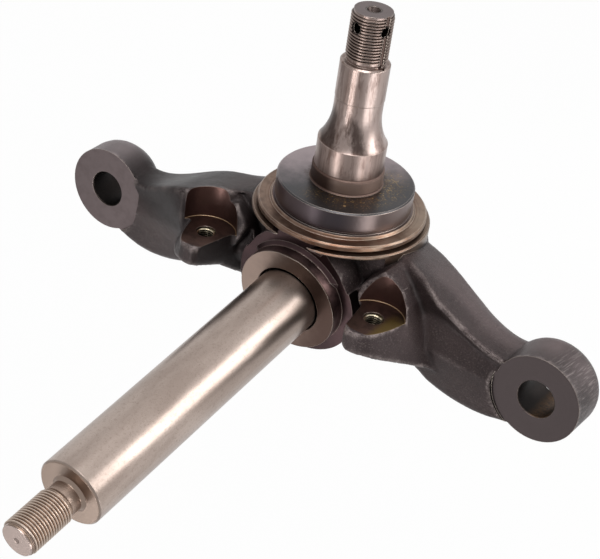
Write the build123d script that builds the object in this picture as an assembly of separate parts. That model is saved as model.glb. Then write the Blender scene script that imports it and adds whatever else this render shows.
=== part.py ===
# Steering knuckle: one forging with its wheel spindle, and the king pin pressed through its hub.
# Frame, in millimetres: X runs along the two steering arms, Y out along the wheel spindle and Z
# up. The origin is where the king pin axis crosses the spindle axis.
import os
from math import radians, sqrt, tan

from build123d import *

# ---- driving dimensions -------------------------------------------------------------------
PIN_LEAN = 9.0                 # king pin leans inboard: 8 deg inclination plus 1 deg of camber

# wheel spindle, distances along Y from the king pin axis
TIP_Y = 180.0
SPINDLE_THREAD_D = 27.0        # M27 x 2
THREAD_PITCH = 2.0
THREAD_DEPTH = 0.6134 * THREAD_PITCH
OUTER_SEAT_D = 32.0
OUTER_SEAT_TOP_Y = 146.0
OUTER_SEAT_END_Y = 121.0
NECK_D = 31.4
NECK_ARC_TOP_Y = 112.0
INNER_SEAT_D = 45.0
INNER_SEAT_TOP_Y = 90.4
INNER_SEAT_END_Y = 72.0
ROOT_D = 47.0                  # unground root of the inner seat
DISC_D = 90.0                  # hardened track of the hub seal
DISC_TOP_Y = 61.5
DISC_CHAMFER = 0.9
TRACK_GROOVE_LONG = 1.3        # grinding relief at the foot of the seal track
TRACK_GROOVE_DEEP = 0.5
STEP_D = 94.0
STEP_TOP_Y = 46.0
FLANGE_D = 111.0
FLANGE_TOP_Y = 44.2
FLANGE_THICK = 3.6
GROOVE_D = 104.0
RING_D = 117.0
RING_TOP_Y = 38.6
HUB_D = 115.0
COTTER_D = 6.6
COTTER_Y = 170.0
COTTER_ANGLE = -15.0           # first cotter hole, from Z towards X
KEYWAY_R = 1.9
KEYWAY_DEEP = 1.7
CENTRE_D = 9.0

# king pin, distances along its own axis
PIN_D = 45.0
PIN_TOP_H = 263.6
PIN_FOOT_H = -47.0
PIN_THREAD_D = 24.0            # M24 x 2
PIN_END_H = 307.6
PIN_NECK_D = 20.8
PIN_NECK_LONG = 9.0
PIN_GROOVE_LONG = 3.0          # grinding relief between the press seat and the journal
PIN_GROOVE_DEEP = 0.5
EDGE_CHAMFER = 1.2

# turned collar round the king pin and the boss below it
COLLAR_D = 72.4
COLLAR_TOP_H = 53.0
COLLAR_FOOT_H = 43.0
FLOOR_R = 48.2                 # the facing cut round the collar stops short of the flange
RELIEF_GAP = 1.1               # open ring round the pin at the collar mouth
RELIEF_DEEP = 6.0
BOSS_D = 88.6
BOSS_TURNED_H = 2.0
BOSS_DRAFT = 4.0
BOSS_FOOT_H = -48.0

# steering arms
EYE_X = 171.0
EYE_Y = -10.5
EYE_D = 59.0
EYE_FACE_Z = 27.5
EYE_BACK_Z = -3.5
EYE_PART_Z = 2.0
PART_RISE = 5.5
LEFT_BACK_Z = 5.0              # back edge of the left hand arm and eye stands further forward
EYE_BORE_D = 25.0
FACE_CUT_D = 62.0              # cutter that faces the eye leaves a small step in the arm
EYE_DRAFT = 1.2

# tapped lugs
LUG_X = 65.8
RIGHT_LUG_Y = 11.7
LEFT_LUG_Y = 15.0
LUG_Z = 55.7
SPOT_D = 40.0
LUG_TAP_D = 10.4               # drill for M12
LUG_THREAD_D = 12.0
LUG_TAP_DEEP = 24.0


def turned(outline):
    """Solid of revolution about Y from (radius, y) corners."""
    return revolve(make_face(Polyline(*outline, close=True)), Axis.Y)


def on_pin(shape):
    """Carry a shape built upright about Z onto the leaning king pin axis."""
    return Rot(X=PIN_LEAN) * shape


def upright(outline):
    """Solid of revolution about Z from (radius, height) corners."""
    flat = make_face(Polyline(*outline, close=True))
    return revolve(Plane.XZ * flat, Axis.Z)


def both(shape):
    """A right hand shape with its left hand mirror."""
    return [shape, mirror(shape, about=Plane.YZ)]


# ---- wheel spindle ------------------------------------------------------------------------
def neck_edges():
    """Spindle outline from the tip down to the disc, with the swept neck as a true arc."""
    thread_r = SPINDLE_THREAD_D / 2
    relief_r = thread_r - THREAD_DEPTH
    seat_r = OUTER_SEAT_D / 2
    neck_r = NECK_D / 2
    inner_r = INNER_SEAT_D / 2
    root_r = ROOT_D / 2
    rise = NECK_ARC_TOP_Y - INNER_SEAT_TOP_Y - 0.6
    flare = inner_r - 0.6 - neck_r
    sweep = (rise * rise + flare * flare) / (2 * flare)
    half = 0.5 * (NECK_ARC_TOP_Y - INNER_SEAT_TOP_Y - 0.6)
    mid_r = neck_r + sweep - sqrt(sweep * sweep - half * half)
    upper = Polyline(
        (0, TIP_Y),
        (thread_r - EDGE_CHAMFER, TIP_Y),
        (thread_r, TIP_Y - EDGE_CHAMFER),
        (thread_r, OUTER_SEAT_TOP_Y + 2.4),
        (relief_r, OUTER_SEAT_TOP_Y + 1.2),
        (relief_r, OUTER_SEAT_TOP_Y),
        (seat_r - 1.0, OUTER_SEAT_TOP_Y),
        (seat_r, OUTER_SEAT_TOP_Y - 1.0),
        (seat_r, OUTER_SEAT_END_Y),
        (neck_r, OUTER_SEAT_END_Y - 0.3),
        (neck_r, NECK_ARC_TOP_Y),
    )
    arc = ThreePointArc(
        (neck_r, NECK_ARC_TOP_Y),
        (mid_r, NECK_ARC_TOP_Y - half),
        (inner_r - 0.6, INNER_SEAT_TOP_Y + 0.6),
    )
    lower = Polyline(
        (inner_r - 0.6, INNER_SEAT_TOP_Y + 0.6),
        (inner_r, INNER_SEAT_TOP_Y),
        (inner_r, INNER_SEAT_END_Y),
        (root_r, INNER_SEAT_END_Y - 0.75),
        (root_r, DISC_TOP_Y + 0.8),
        (root_r + 0.8, DISC_TOP_Y),
        (DISC_D / 2 - DISC_CHAMFER, DISC_TOP_Y),
        (DISC_D / 2, DISC_TOP_Y - DISC_CHAMFER),
        (DISC_D / 2, STEP_TOP_Y + TRACK_GROOVE_LONG + TRACK_GROOVE_DEEP),
        (DISC_D / 2 - TRACK_GROOVE_DEEP, STEP_TOP_Y + TRACK_GROOVE_LONG),
        (DISC_D / 2 - TRACK_GROOVE_DEEP, STEP_TOP_Y),
        (STEP_D / 2 - 0.5, STEP_TOP_Y),
        (STEP_D / 2, STEP_TOP_Y - 0.5),
        (STEP_D / 2 + 0.6, FLANGE_TOP_Y),
        (FLANGE_D / 2 - 1.0, FLANGE_TOP_Y),
        (FLANGE_D / 2, FLANGE_TOP_Y - 1.0),
        (FLANGE_D / 2, FLANGE_TOP_Y - FLANGE_THICK),
        (GROOVE_D / 2, FLANGE_TOP_Y - FLANGE_THICK),
        (GROOVE_D / 2, RING_TOP_Y),
        (RING_D / 2 - 0.8, RING_TOP_Y),
        (RING_D / 2, RING_TOP_Y - 0.8),
        (RING_D / 2, 27.0),
        (HUB_D / 2, 24.0),
        (HUB_D / 2 - 6.0, -6.0),
        (0, -6.0),
        (0, TIP_Y),
    )
    return upper, arc, lower


def spindle_body():
    """Everything turned on the wheel spindle axis, seal disc, flange and ring included."""
    return revolve(make_face(Curve() + list(neck_edges())), Axis.Y)


# ---- king pin boss and collar -------------------------------------------------------------
def pin_boss():
    """Boss round the king pin, turned above and drafted below, its collar not yet turned."""
    top_r = BOSS_D / 2
    foot_r = top_r + tan(radians(BOSS_DRAFT)) * (BOSS_TURNED_H - BOSS_FOOT_H)
    return upright([
        (0, COLLAR_TOP_H),
        (COLLAR_D / 2, COLLAR_TOP_H),
        (COLLAR_D / 2, COLLAR_FOOT_H),
        (top_r, COLLAR_FOOT_H),
        (top_r, BOSS_TURNED_H),
        (foot_r - 0.5, BOSS_FOOT_H + 3.0),
        (foot_r - 4.0, BOSS_FOOT_H),
        (0, BOSS_FOOT_H),
    ])


def collar_facing():
    """Ring of metal cleared away round the collar, with the tool's bevel left at its foot."""
    inner = COLLAR_D / 2
    ring = upright([
        (inner, COLLAR_TOP_H + 20),
        (inner, COLLAR_FOOT_H),
        (FLOOR_R, COLLAR_FOOT_H),
        (FLOOR_R, COLLAR_TOP_H + 20),
    ])
    foot = ring.edges().filter_by(GeomType.CIRCLE).sort_by(Axis.Z)[:2]
    corner = foot.sort_by(SortBy.RADIUS)[0]
    return chamfer(corner, 2.5)


def pin_bore():
    """Press bore with the open relief ring at the collar mouth."""
    radius = PIN_D / 2
    return upright([
        (0, COLLAR_TOP_H + 1),
        (radius + RELIEF_GAP + 1.5, COLLAR_TOP_H + 1),
        (radius + RELIEF_GAP + 0.5, COLLAR_TOP_H),
        (radius + RELIEF_GAP, COLLAR_TOP_H - 0.5),
        (radius + RELIEF_GAP, COLLAR_TOP_H - RELIEF_DEEP),
        (radius, COLLAR_TOP_H - RELIEF_DEEP - 1.0),
        (radius, BOSS_FOOT_H + 1.0),
        (radius + 1.0, BOSS_FOOT_H),
        (radius + 2.0, BOSS_FOOT_H - 1),
        (0, BOSS_FOOT_H - 1),
    ])


# ---- steering arms ------------------------------------------------------------------------
def parting(back):
    """Height of the die parting on a shape whose back lies at this height."""
    return max(EYE_PART_Z, back + PART_RISE)


def arm_section(x, low, low_front, bulge, panel, ridge, high, back_high, back, corner):
    """Arm cross-section at x as (y, z) corners; its four outer corners are taken off."""
    part_z = parting(back)
    sketch = make_face(Polyline(
        (low, part_z),
        low_front,
        bulge,
        panel,
        ridge,
        (high, part_z),
        (back_high, back),
        (low + 2.5, back),
        close=True,
    ))
    outer = (low_front, ridge, (back_high, back), (low + 2.5, back))
    soft = [v for v in sketch.vertices() if (round(v.X, 3), round(v.Y, 3)) in outer]
    sketch = chamfer(soft, corner)
    return Plane(origin=(x, 0, 0), x_dir=(0, 1, 0), z_dir=(1, 0, 0)) * sketch


def arm(hub_half, eye_half):
    """Arm in two lofts that share their middle section."""
    root = loft([arm_section(*row) for row in hub_half])
    tail = loft([arm_section(*row) for row in eye_half])
    return root + tail


def right_arm():
    """Right hand steering arm, from inside the hub out into its eye."""
    middle = (95, -36.5, (-35, 29), (-6, 36), (13, 26.2), (26.5, 32.5), 24, 21.5, -11, 2.5)
    return arm(
        [
            (12, -40, (-34, 20), (0, 39), (13, 34), (28, 28), 29, 24, -44, 2.5),
            (50, -31, (-26, 25), (0, 35), (16, 25), (35, 14), 34, 24, -32, 2.5),
            (70, -30, (-25, 28), (-4, 36), (14, 26), (35, 21), 32, 26.5, -21, 2.5),
            middle,
        ],
        [
            middle,
            (118, -42, (-40.5, 29), (-9, 34), (6, 26.3), (13.5, 31), 13, 10, -8, 2.5),
            (141, -41, (-40, 29), (-12, 30.5), (-1, 26), (5, 29), 6.5, 4.5, -5.5, 1.9),
            (164, -37.5, (-34, 28.3), (-14, 28.6), (0, 26), (11, 28.3), 15, 14, -2.5, 1.9),
        ],
    )


def left_arm():
    """Left hand arm, drawn on the right: its forging stands further forward at the ridge."""
    middle = (88, -35, (-32, 30), (2, 51), (18, 55.5), (37, 54.5), 30, 25, -5, 2.5)
    shape = arm(
        [
            (12, -40, (-34, 20), (0, 40), (13, 36), (28, 29), 29, 24, -44, 2.5),
            (50, -31, (-26, 25), (0, 40), (18, 32), (36, 24), 35, 30, -28, 2.5),
            (70, -30, (-25, 28), (0, 43), (16, 42), (38.5, 41), 34, 26.5, -15, 2.5),
            middle,
        ],
        [
            middle,
            (118, -43, (-42, 30.5), (-6, 40.5), (8, 41), (22, 47), 16.5, 14.5, 1, 2.5),
            (141, -43, (-42, 30), (-13, 33), (-1, 30.2), (9, 34.5), 9, 8, 3.2, 1.9),
            (164, -37.5, (-34, 28.3), (-14, 28.6), (0, 28), (12, 28.3), 15.5, 14.5, 5.5, 1.9),
        ],
    )
    return mirror(shape, about=Plane.YZ)


def eye(part_z, bevel_r, bevel_z):
    """Drafted boss of a steering eye at the right, bevelled at its forged back."""
    radius = EYE_D / 2
    slope = tan(radians(EYE_DRAFT))
    wide = radius + slope * (EYE_FACE_Z - part_z)
    boss = upright([
        (0, EYE_FACE_Z + 1.3),
        (radius - slope * 1.3, EYE_FACE_Z + 1.3),
        (wide, part_z),
        (wide - 0.4, part_z - 0.8),
        (wide - 1.0, EYE_BACK_Z + bevel_z),
        (wide - 1.0 - bevel_r, EYE_BACK_Z),
        (0, EYE_BACK_Z),
    ])
    return Pos(EYE_X, EYE_Y, 0) * boss


def right_eye():
    """Right hand eye, its back edge only just broken."""
    return eye(EYE_PART_Z, 2.0, 2.0)


def left_eye():
    """Left hand eye, its back drawn in by a deep bevel."""
    return mirror(eye(parting(LEFT_BACK_Z), 6.5, LEFT_BACK_Z - EYE_BACK_Z), about=Plane.YZ)


# ---- tapped lugs --------------------------------------------------------------------------
def lug_outline(y, outer):
    """Outline of a lug at one height y: the inner side is the same at all heights."""
    inner = [(44, 10), (50, 36), (54, 58), (57.5, 78.5)]
    plan = make_face(Polyline(*inner, *outer, close=True))
    front = [v for v in plan.vertices() if v.Y > 65]
    return Plane(origin=(0, y, 0), x_dir=(1, 0, 0), z_dir=(0, -1, 0)) * chamfer(front, 2.5)


def lug(face_y, under_y):
    """Lug at the right of the king pin collar, its top at face_y and its nose down to under_y."""
    block = loft([
        lug_outline(18, [(68, 78.5), (74, 71), (78, 58), (80, 45), (80, 30), (80, 10)]),
        lug_outline(-26, [(72, 78.5), (86, 74), (98, 60), (105, 45), (109, 30), (112, 10)]),
    ], ruled=True)
    side = make_face(Polyline(
        (face_y + 0.5, 5),
        (face_y + 0.5, 60),
        (face_y - 0.5, 90),
        (under_y, 90),
        (under_y, 77),
        (under_y - 8.5, 52),
        (-24, 27),
        (-26, 5),
        close=True,
    ))
    wedge = extrude(
        Plane(origin=(30, 0, 0), x_dir=(0, 1, 0), z_dir=(1, 0, 0)) * side, amount=110
    )
    return block & wedge


def right_lug():
    """Right hand lug, the deeper of the two."""
    return lug(RIGHT_LUG_Y, -3.5)


def left_lug():
    """Left hand lug, set higher on the forging."""
    return mirror(lug(LEFT_LUG_Y, 1.0), about=Plane.YZ)


def web():
    """Right hand gable of forged metal behind the lug, left standing round its spot face."""
    gable = make_face(Polyline(
        (50, 6),
        (46, 14),
        (45, 21),
        (50, 28.5),
        (57, 32),
        (64, 30),
        (72, 25.5),
        (80, 18),
        (86, 8),
        (86, 6),
        close=True,
    ))
    tops = [v for v in gable.vertices() if v.Y > 16]
    gable = fillet(tops, 2)
    block = extrude(gable, amount=60)
    side = make_face(Polyline(
        (4, 8),
        (34, 8),
        (34, 34),
        (30, 38),
        (14, 46),
        (4, 46),
        close=True,
    ))
    wedge = extrude(
        Plane(origin=(30, 0, 0), x_dir=(0, 1, 0), z_dir=(1, 0, 0)) * side, amount=80
    )
    return block & wedge


def forged_recess():
    """Hollow left by the front die under the ring, between the boss and the right hand web."""
    outline = make_face(Polyline(
        (40, 12),
        (33, 24),
        (22, 36),
        (61, 36),
        (55, 31),
        (47, 24),
        close=True,
    ))
    outline = chamfer(outline.vertices(), 0.8)
    return Pos(0, 0, 27) * extrude(outline, amount=45, taper=-3)


def down_hole(diameter, depth, at):
    """Cylinder cut running from a face at y down towards -Y."""
    x, y, z = at
    hole = Cylinder(diameter / 2, depth, align=(Align.CENTER, Align.CENTER, Align.MAX))
    return Pos(x, y, z) * Rot(X=-90) * hole


def lug_cuts(side, face_y):
    """Spot face, tapping drill and countersink of the lug on one side, +1 right or -1 left."""
    x = side * LUG_X
    spot = Pos(x, face_y, LUG_Z) * Rot(X=-90) * Cylinder(
        SPOT_D / 2, 60, align=(Align.CENTER, Align.CENTER, Align.MIN)
    )
    drill = down_hole(LUG_TAP_D, LUG_TAP_DEEP, (x, face_y, LUG_Z))
    sink = Pos(x, face_y, LUG_Z) * Rot(X=-90) * Cone(
        LUG_TAP_D / 2, LUG_THREAD_D / 2 + 0.6, 1.4, align=(Align.CENTER, Align.CENTER, Align.MAX)
    )
    return [spot, drill, sink]


def eye_cuts():
    """Facing cut and bore of the right hand eye."""
    place = Pos(EYE_X, EYE_Y, EYE_FACE_Z)
    face = place * Cylinder(FACE_CUT_D / 2, 20, align=(Align.CENTER, Align.CENTER, Align.MIN))
    bore = Pos(EYE_X, EYE_Y, 0) * Cylinder(EYE_BORE_D / 2, 120)
    sink = place * Cone(
        EYE_BORE_D / 2, EYE_BORE_D / 2 + 0.6, 0.6, align=(Align.CENTER, Align.CENTER, Align.MAX)
    )
    return [face, bore, sink]


# ---- small cuts in the spindle ------------------------------------------------------------
def cotter_holes():
    """Two cotter holes through the thread, square to each other."""
    drill = Cylinder(COTTER_D / 2, SPINDLE_THREAD_D + 10)
    return [
        Pos(0, COTTER_Y, 0) * Rot(Y=COTTER_ANGLE + turn) * drill
        for turn in (0, 90)
    ]


def keyway():
    """Round bottomed slot for the tab washer, from the tip into the outer seat's shoulder."""
    centre = SPINDLE_THREAD_D / 2 - KEYWAY_DEEP + KEYWAY_R
    long = TIP_Y - OUTER_SEAT_TOP_Y + 3.0
    slot = Cylinder(KEYWAY_R, long, align=(Align.CENTER, Align.CENTER, Align.MIN))
    return Rot(Y=COTTER_ANGLE + 93) * Pos(0, TIP_Y + 1, centre) * Rot(X=90) * slot


def centre_drilling():
    """Lathe centre in the spindle tip."""
    return turned([
        (0, TIP_Y + 0.2),
        (CENTRE_D / 2 + 0.1, TIP_Y + 0.2),
        (CENTRE_D / 2, TIP_Y),
        (2.0, TIP_Y - 4.3),
        (2.0, TIP_Y - 9.0),
        (0, TIP_Y - 10.0),
    ])


# ---- the two pieces -----------------------------------------------------------------------
def make_forging():
    """The knuckle forging after all its machining."""
    body = spindle_body() + on_pin(pin_boss())
    body += [right_arm(), left_arm(), right_eye(), left_eye(), right_lug(), left_lug()]
    body += both(web())
    body -= on_pin(collar_facing())
    body -= both(forged_recess())
    body -= on_pin(pin_bore())
    body -= lug_cuts(1, RIGHT_LUG_Y) + lug_cuts(-1, LEFT_LUG_Y)
    for cut in eye_cuts():
        body -= both(cut)
    body -= cotter_holes() + [keyway(), centre_drilling()]
    return body


def make_king_pin():
    """Ground king pin with its necked and threaded upper end."""
    radius = PIN_D / 2
    neck_r = PIN_NECK_D / 2
    thread_r = PIN_THREAD_D / 2
    pin = upright([
        (0, PIN_FOOT_H),
        (radius - 1.5, PIN_FOOT_H),
        (radius, PIN_FOOT_H + 1.5),
        (radius, COLLAR_TOP_H - PIN_GROOVE_LONG),
        (radius - PIN_GROOVE_DEEP, COLLAR_TOP_H - PIN_GROOVE_LONG + 0.5),
        (radius - PIN_GROOVE_DEEP, COLLAR_TOP_H - 0.5),
        (radius, COLLAR_TOP_H),
        (radius, PIN_TOP_H - EDGE_CHAMFER),
        (radius - EDGE_CHAMFER, PIN_TOP_H),
        (neck_r, PIN_TOP_H),
        (neck_r, PIN_TOP_H + PIN_NECK_LONG),
        (thread_r, PIN_TOP_H + PIN_NECK_LONG + 1.4),
        (thread_r, PIN_END_H - 1.5),
        (thread_r - 1.5, PIN_END_H),
        (0, PIN_END_H),
    ])
    root = pin.edges().filter_by(GeomType.CIRCLE).filter_by_position(
        Axis.Z, PIN_TOP_H - 0.01, PIN_TOP_H + 0.01
    )
    pin = chamfer(root.sort_by(SortBy.RADIUS)[0], 2.0)
    dimple = Pos(0, 0, PIN_END_H) * Cone(
        0.2, 2.0, 1.8, align=(Align.CENTER, Align.CENTER, Align.MAX)
    )
    return on_pin(pin - dimple)


os.makedirs("parts", exist_ok=True)
export_step(make_forging(), "parts/knuckle_forging.step")
export_step(make_king_pin(), "parts/king_pin.step")
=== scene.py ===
# %% [markdown]
# # Steering knuckle: its finishes, its threads and the studio
# The solids were drawn in CAD and are loaded here as a fixed frame, in metres, with X along the
# two steering arms, Y out along the wheel spindle and Z up. Nothing is moved from where the CAD
# model has it. This file adds what a plain solid can't show: skin left by the forging dies,
# ground seats, turned faces, cut threads, light and a camera.

# %% Load the frame
from math import cos, pi, radians, sin
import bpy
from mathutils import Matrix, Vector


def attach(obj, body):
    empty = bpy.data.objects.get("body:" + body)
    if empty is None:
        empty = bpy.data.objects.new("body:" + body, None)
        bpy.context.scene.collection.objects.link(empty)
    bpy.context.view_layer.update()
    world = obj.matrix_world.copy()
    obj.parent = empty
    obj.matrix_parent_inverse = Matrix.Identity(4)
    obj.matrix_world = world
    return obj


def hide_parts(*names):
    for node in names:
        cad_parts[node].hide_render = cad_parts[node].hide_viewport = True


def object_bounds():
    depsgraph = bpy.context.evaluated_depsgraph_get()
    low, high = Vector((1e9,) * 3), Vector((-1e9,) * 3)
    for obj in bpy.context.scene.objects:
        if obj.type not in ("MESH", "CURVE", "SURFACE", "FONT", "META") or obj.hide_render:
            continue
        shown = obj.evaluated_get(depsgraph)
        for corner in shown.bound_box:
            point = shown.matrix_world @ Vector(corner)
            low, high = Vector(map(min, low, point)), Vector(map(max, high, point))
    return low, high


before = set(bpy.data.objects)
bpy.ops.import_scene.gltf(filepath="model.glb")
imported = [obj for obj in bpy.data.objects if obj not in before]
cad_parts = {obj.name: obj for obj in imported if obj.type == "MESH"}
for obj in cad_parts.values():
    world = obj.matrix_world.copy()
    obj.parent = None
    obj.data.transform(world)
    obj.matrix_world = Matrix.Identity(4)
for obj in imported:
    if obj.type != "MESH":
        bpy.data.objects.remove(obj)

from types import SimpleNamespace

import bmesh
import bpy
import numpy as np
from mathutils import Matrix, Vector

CAD_LOW, CAD_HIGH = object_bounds()
print("nodes:", sorted(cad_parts))

# %% [markdown]
# ## Sizes that the finishes need
# A finish changes where the machining changes, so it needs the same few sizes that the CAD model
# was drawn from. They are in millimetres here, because the real drawing would be.

# %% Sizes in millimetres
MM = 0.001
LEAN = radians(9.0)            # the king pin leans back from Z by this angle
SPINDLE_TIP = 180.0
SPINDLE_THREAD_R = 13.5        # M27 x 2
SPINDLE_THREAD_FROM, SPINDLE_THREAD_TO = 148.4, 178.8
PIN_THREAD_R = 12.0            # M24 x 2
PIN_THREAD_FROM, PIN_THREAD_TO = 274.0, 306.1
PITCH = 2.0
DEPTH_RATIO = 0.6134           # depth of an ISO thread for one unit of pitch
ROOT_DEPTH = DEPTH_RATIO * PITCH
SPINDLE_ROOT_R = SPINDLE_THREAD_R - ROOT_DEPTH
PIN_ROOT_R = PIN_THREAD_R - ROOT_DEPTH
COTTER_SINK_R, COTTER_Y, COTTER_TURN = 3.9, 170.0, radians(-15.0)
KEYWAY_R, KEYWAY_DEEP, KEYWAY_TURN = 1.9, 1.7, radians(78.0)
KEYWAY_CENTRE = SPINDLE_THREAD_R - KEYWAY_DEEP + KEYWAY_R
SEAT_FROM, SEAT_TO = 72.0, 90.4  # the inner bearing seat; the neck rises above it
ROOT_R = 23.5                  # unground root between seat and disc
DISC_TOP, DISC_R = 61.5, 45.0
LAND_TOP, FLANGE_FOOT = 46.0, 40.6
RING_R, RING_FROM, RING_TOP, HUB_R = 58.5, 26.9, 38.6, 57.5
TURNED_R, TURNED_FROM = 60.0, 37.75  # all that is turned about the spindle's axis
EYE_X, EYE_Y, EYE_FACE_Z = 171.0, -10.5, 27.5
EYE_FACE_R, EYE_BORE_R = 31.0, 12.5
LUG_X, LUG_Z, LUG_HOLE_R, LUG_THREAD_R, LUG_PITCH = 65.8, 55.7, 5.2, 6.0, 1.5
LUG_FACE = {1: 11.7, -1: 15.0}  # right lug, left lug
LUG_DEEP, SPOT_R = 24.0, 20.0
COLLAR_R, COLLAR_TOP, COLLAR_FOOT = 36.2, 53.0, 43.0
BOSS_R, BOSS_FROM, BOSS_FOOT = 44.3, 1.8, -48.0
FLOOR_R = 48.2
PRESS_BORE_R = 22.5

SPINDLE_FRAME = Matrix.Rotation(-pi / 2, 4, "X")  # carries local Z onto the spindle's Y
PIN_FRAME = Matrix.Rotation(LEAN, 4, "X")  # carries local Z onto the leaning pin
print("thread depth in mm:", round(ROOT_DEPTH, 3))

# %% [markdown]
# ## Pieces that stand for their CAD solids
# On the real part a thread is cut into the bar, so its grooves go below the bar's surface. The
# CAD bar is plain. Instead of drawing the thread as shading, each bar is copied, its plain
# length is drawn in to the root of the thread, and a real helical ridge is wound on it. The copy
# then stands for the CAD node, which stays hidden for collision.

# %% Copies of the two nodes
BAND_SLACK, RADIUS_SLACK = 0.05, 0.03  # how near a vertex counts as on the bar


def stand_in(node, name):
    """A copy of a CAD node that may be edited and is shown in its place."""
    piece = bpy.data.objects.new(name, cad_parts[node].data.copy())
    bpy.context.scene.collection.objects.link(piece)
    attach(piece, "root")
    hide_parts(node)
    return piece


def resize_band(piece, to_axis, band, from_r, to_r):
    """Moves the vertices of one cylinder to a new radius about the local Z of to_axis."""
    inward = to_axis.inverted()
    moved = 0
    for vertex in piece.data.vertices:
        local = (inward @ vertex.co) / MM
        radius = local.xy.length
        on_band = band[0] - BAND_SLACK < local.z < band[1] + BAND_SLACK
        if on_band and abs(radius - from_r) < RADIUS_SLACK:
            local.xy *= to_r / radius
            vertex.co = to_axis @ (local * MM)
            moved += 1
    print(piece.name, "moved", moved, "vertices to radius", round(to_r, 3))


knuckle = stand_in("knuckle_forging", "knuckle")
pin = stand_in("king_pin", "pin")

spindle_band = (SPINDLE_THREAD_FROM, SPINDLE_THREAD_TO)
resize_band(knuckle, SPINDLE_FRAME, spindle_band, SPINDLE_THREAD_R, SPINDLE_ROOT_R)
resize_band(pin, PIN_FRAME, (PIN_THREAD_FROM, PIN_THREAD_TO), PIN_THREAD_R, PIN_ROOT_R)

# %% The lugs' holes, drawn out to the root of their threads
LUG_THREADED = (-24.2, -1.2)   # from the foot of the hole up to its chamfer


def lug_frame(side):
    """Frame of a tapped lug hole, its local Z up out of the hole's mouth."""
    return Matrix.Translation(Vector((side * LUG_X, LUG_FACE[side], LUG_Z)) * MM) @ SPINDLE_FRAME


for side in (1, -1):
    resize_band(knuckle, lug_frame(side), LUG_THREADED, LUG_HOLE_R, LUG_THREAD_R)

# %% [markdown]
# ## Die skin
# Hot steel doesn't fill the sharp corners of a forging die, so every outside corner of a forging
# is round and every inside corner has a fillet, and only machining cuts a crisp edge. The CAD
# solid draws those corners as narrow flats. Rounding them one by one with a Bevel modifier fails
# where six of them meet, so the skin is treated as one surface: its faces are cut into small
# triangles and each free vertex is drawn towards its neighbours. A corner then rounds by about
# the width of a few triangles, and the machined surfaces stay pinned where they are.

# %% Machined surfaces of the forging
def machined(points, normals):
    """True for each face, its centre in millimetres, that was turned, bored or faced.

    Each test reaches a little past its surface, so that the chamfer beside it counts too.
    """
    x, y, z = points.T
    side = np.where(x > 0, 1, -1)
    spin = np.hypot(x, z)
    back = y * cos(LEAN) + z * sin(LEAN)
    height = z * cos(LEAN) - y * sin(LEAN)
    pin_r = np.hypot(x, back)
    eye_r = np.hypot(abs(x) - EYE_X, y - EYE_Y)
    lug_r = np.hypot(abs(x) - LUG_X, z - LUG_Z)
    lug_y = np.where(side > 0, LUG_FACE[1], LUG_FACE[-1])
    turned = (y > TURNED_FROM) & (spin < TURNED_R)
    radial = (normals[:, 0] * x + normals[:, 2] * z) / np.maximum(spin, 1.0)
    ring = (abs(spin - RING_R) < 0.3) & (y > RING_FROM) & (radial > 0.98)
    collar = (pin_r < FLOOR_R + 0.2) & (height > COLLAR_FOOT - 0.2)
    boss = (abs(pin_r - BOSS_R) < 0.2) & (height > BOSS_FROM)
    bore = pin_r < PRESS_BORE_R + 2.1
    eye_face = (eye_r < EYE_FACE_R + 0.3) & (z > EYE_FACE_Z - 0.1)
    eye_bore = eye_r < EYE_BORE_R + 0.8
    inward = -(
        normals[:, 0] * (x - side * LUG_X) + normals[:, 2] * (z - LUG_Z)
    ) / np.maximum(lug_r, 1.0)
    wall = (abs(lug_r - SPOT_R) < 0.2) & (y > lug_y) & (inward > 0.9)
    pad = (lug_r < SPOT_R) & (abs(y - lug_y) < 0.05)
    spot = wall | pad
    hole = (lug_r < LUG_THREAD_R + 1.2) & (abs(y - lug_y + LUG_DEEP / 2) < LUG_DEEP / 2 + 0.4)
    return turned | ring | collar | boss | bore | eye_face | eye_bore | spot | hole

# %% Cut the skin into small triangles
WELD = 0.01                    # vertices nearer than this become one
SKIN_EDGE = 2.6                # longest edge left on the forged skin
CUT_ROUNDS = 7                 # each round halves the edges that are still too long


def cut_small(piece):
    """Welds a piece and cuts its forged skin small, then gives the mesh as arrays.

    They are the vertices in millimetres, the faces, which faces are machined, the edges, and
    how many machined faces meet at each edge.
    """
    shape = bmesh.new()
    shape.from_mesh(piece.data)
    bmesh.ops.remove_doubles(shape, verts=shape.verts, dist=WELD * MM)
    centres = np.array([face.calc_center_median() for face in shape.faces]) / MM
    normals = np.array([face.normal for face in shape.faces])
    tool = shape.faces.layers.int.new("machined")
    for face, cut in zip(shape.faces, machined(centres, normals)):
        face[tool] = int(cut)
    for _ in range(CUT_ROUNDS):
        long = [
            edge for edge in shape.edges
            if edge.calc_length() > SKIN_EDGE * MM
            and not all(face[tool] for face in edge.link_faces)
        ]
        if not long:
            break
        bmesh.ops.subdivide_edges(shape, edges=long, cuts=1)
        many = [face for face in shape.faces if len(face.verts) > 3]
        bmesh.ops.triangulate(shape, faces=many, quad_method="SHORT_EDGE")
    shape.verts.ensure_lookup_table()
    shape.verts.index_update()
    at = np.array([vertex.co for vertex in shape.verts]) / MM
    faces = np.array([[vertex.index for vertex in face.verts] for face in shape.faces])
    cut = np.array([bool(face[tool]) for face in shape.faces])
    ends = np.array([[vertex.index for vertex in edge.verts] for edge in shape.edges])
    cuts = np.array([sum(face[tool] for face in edge.link_faces) for edge in shape.edges])
    shape.free()
    return at, faces, cut, ends, cuts


skin_at, skin_faces, skin_cut, skin_ends, skin_cuts = cut_small(knuckle)
print("knuckle:", len(skin_faces), "triangles, of which", int(skin_cut.sum()), "are machined")

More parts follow.
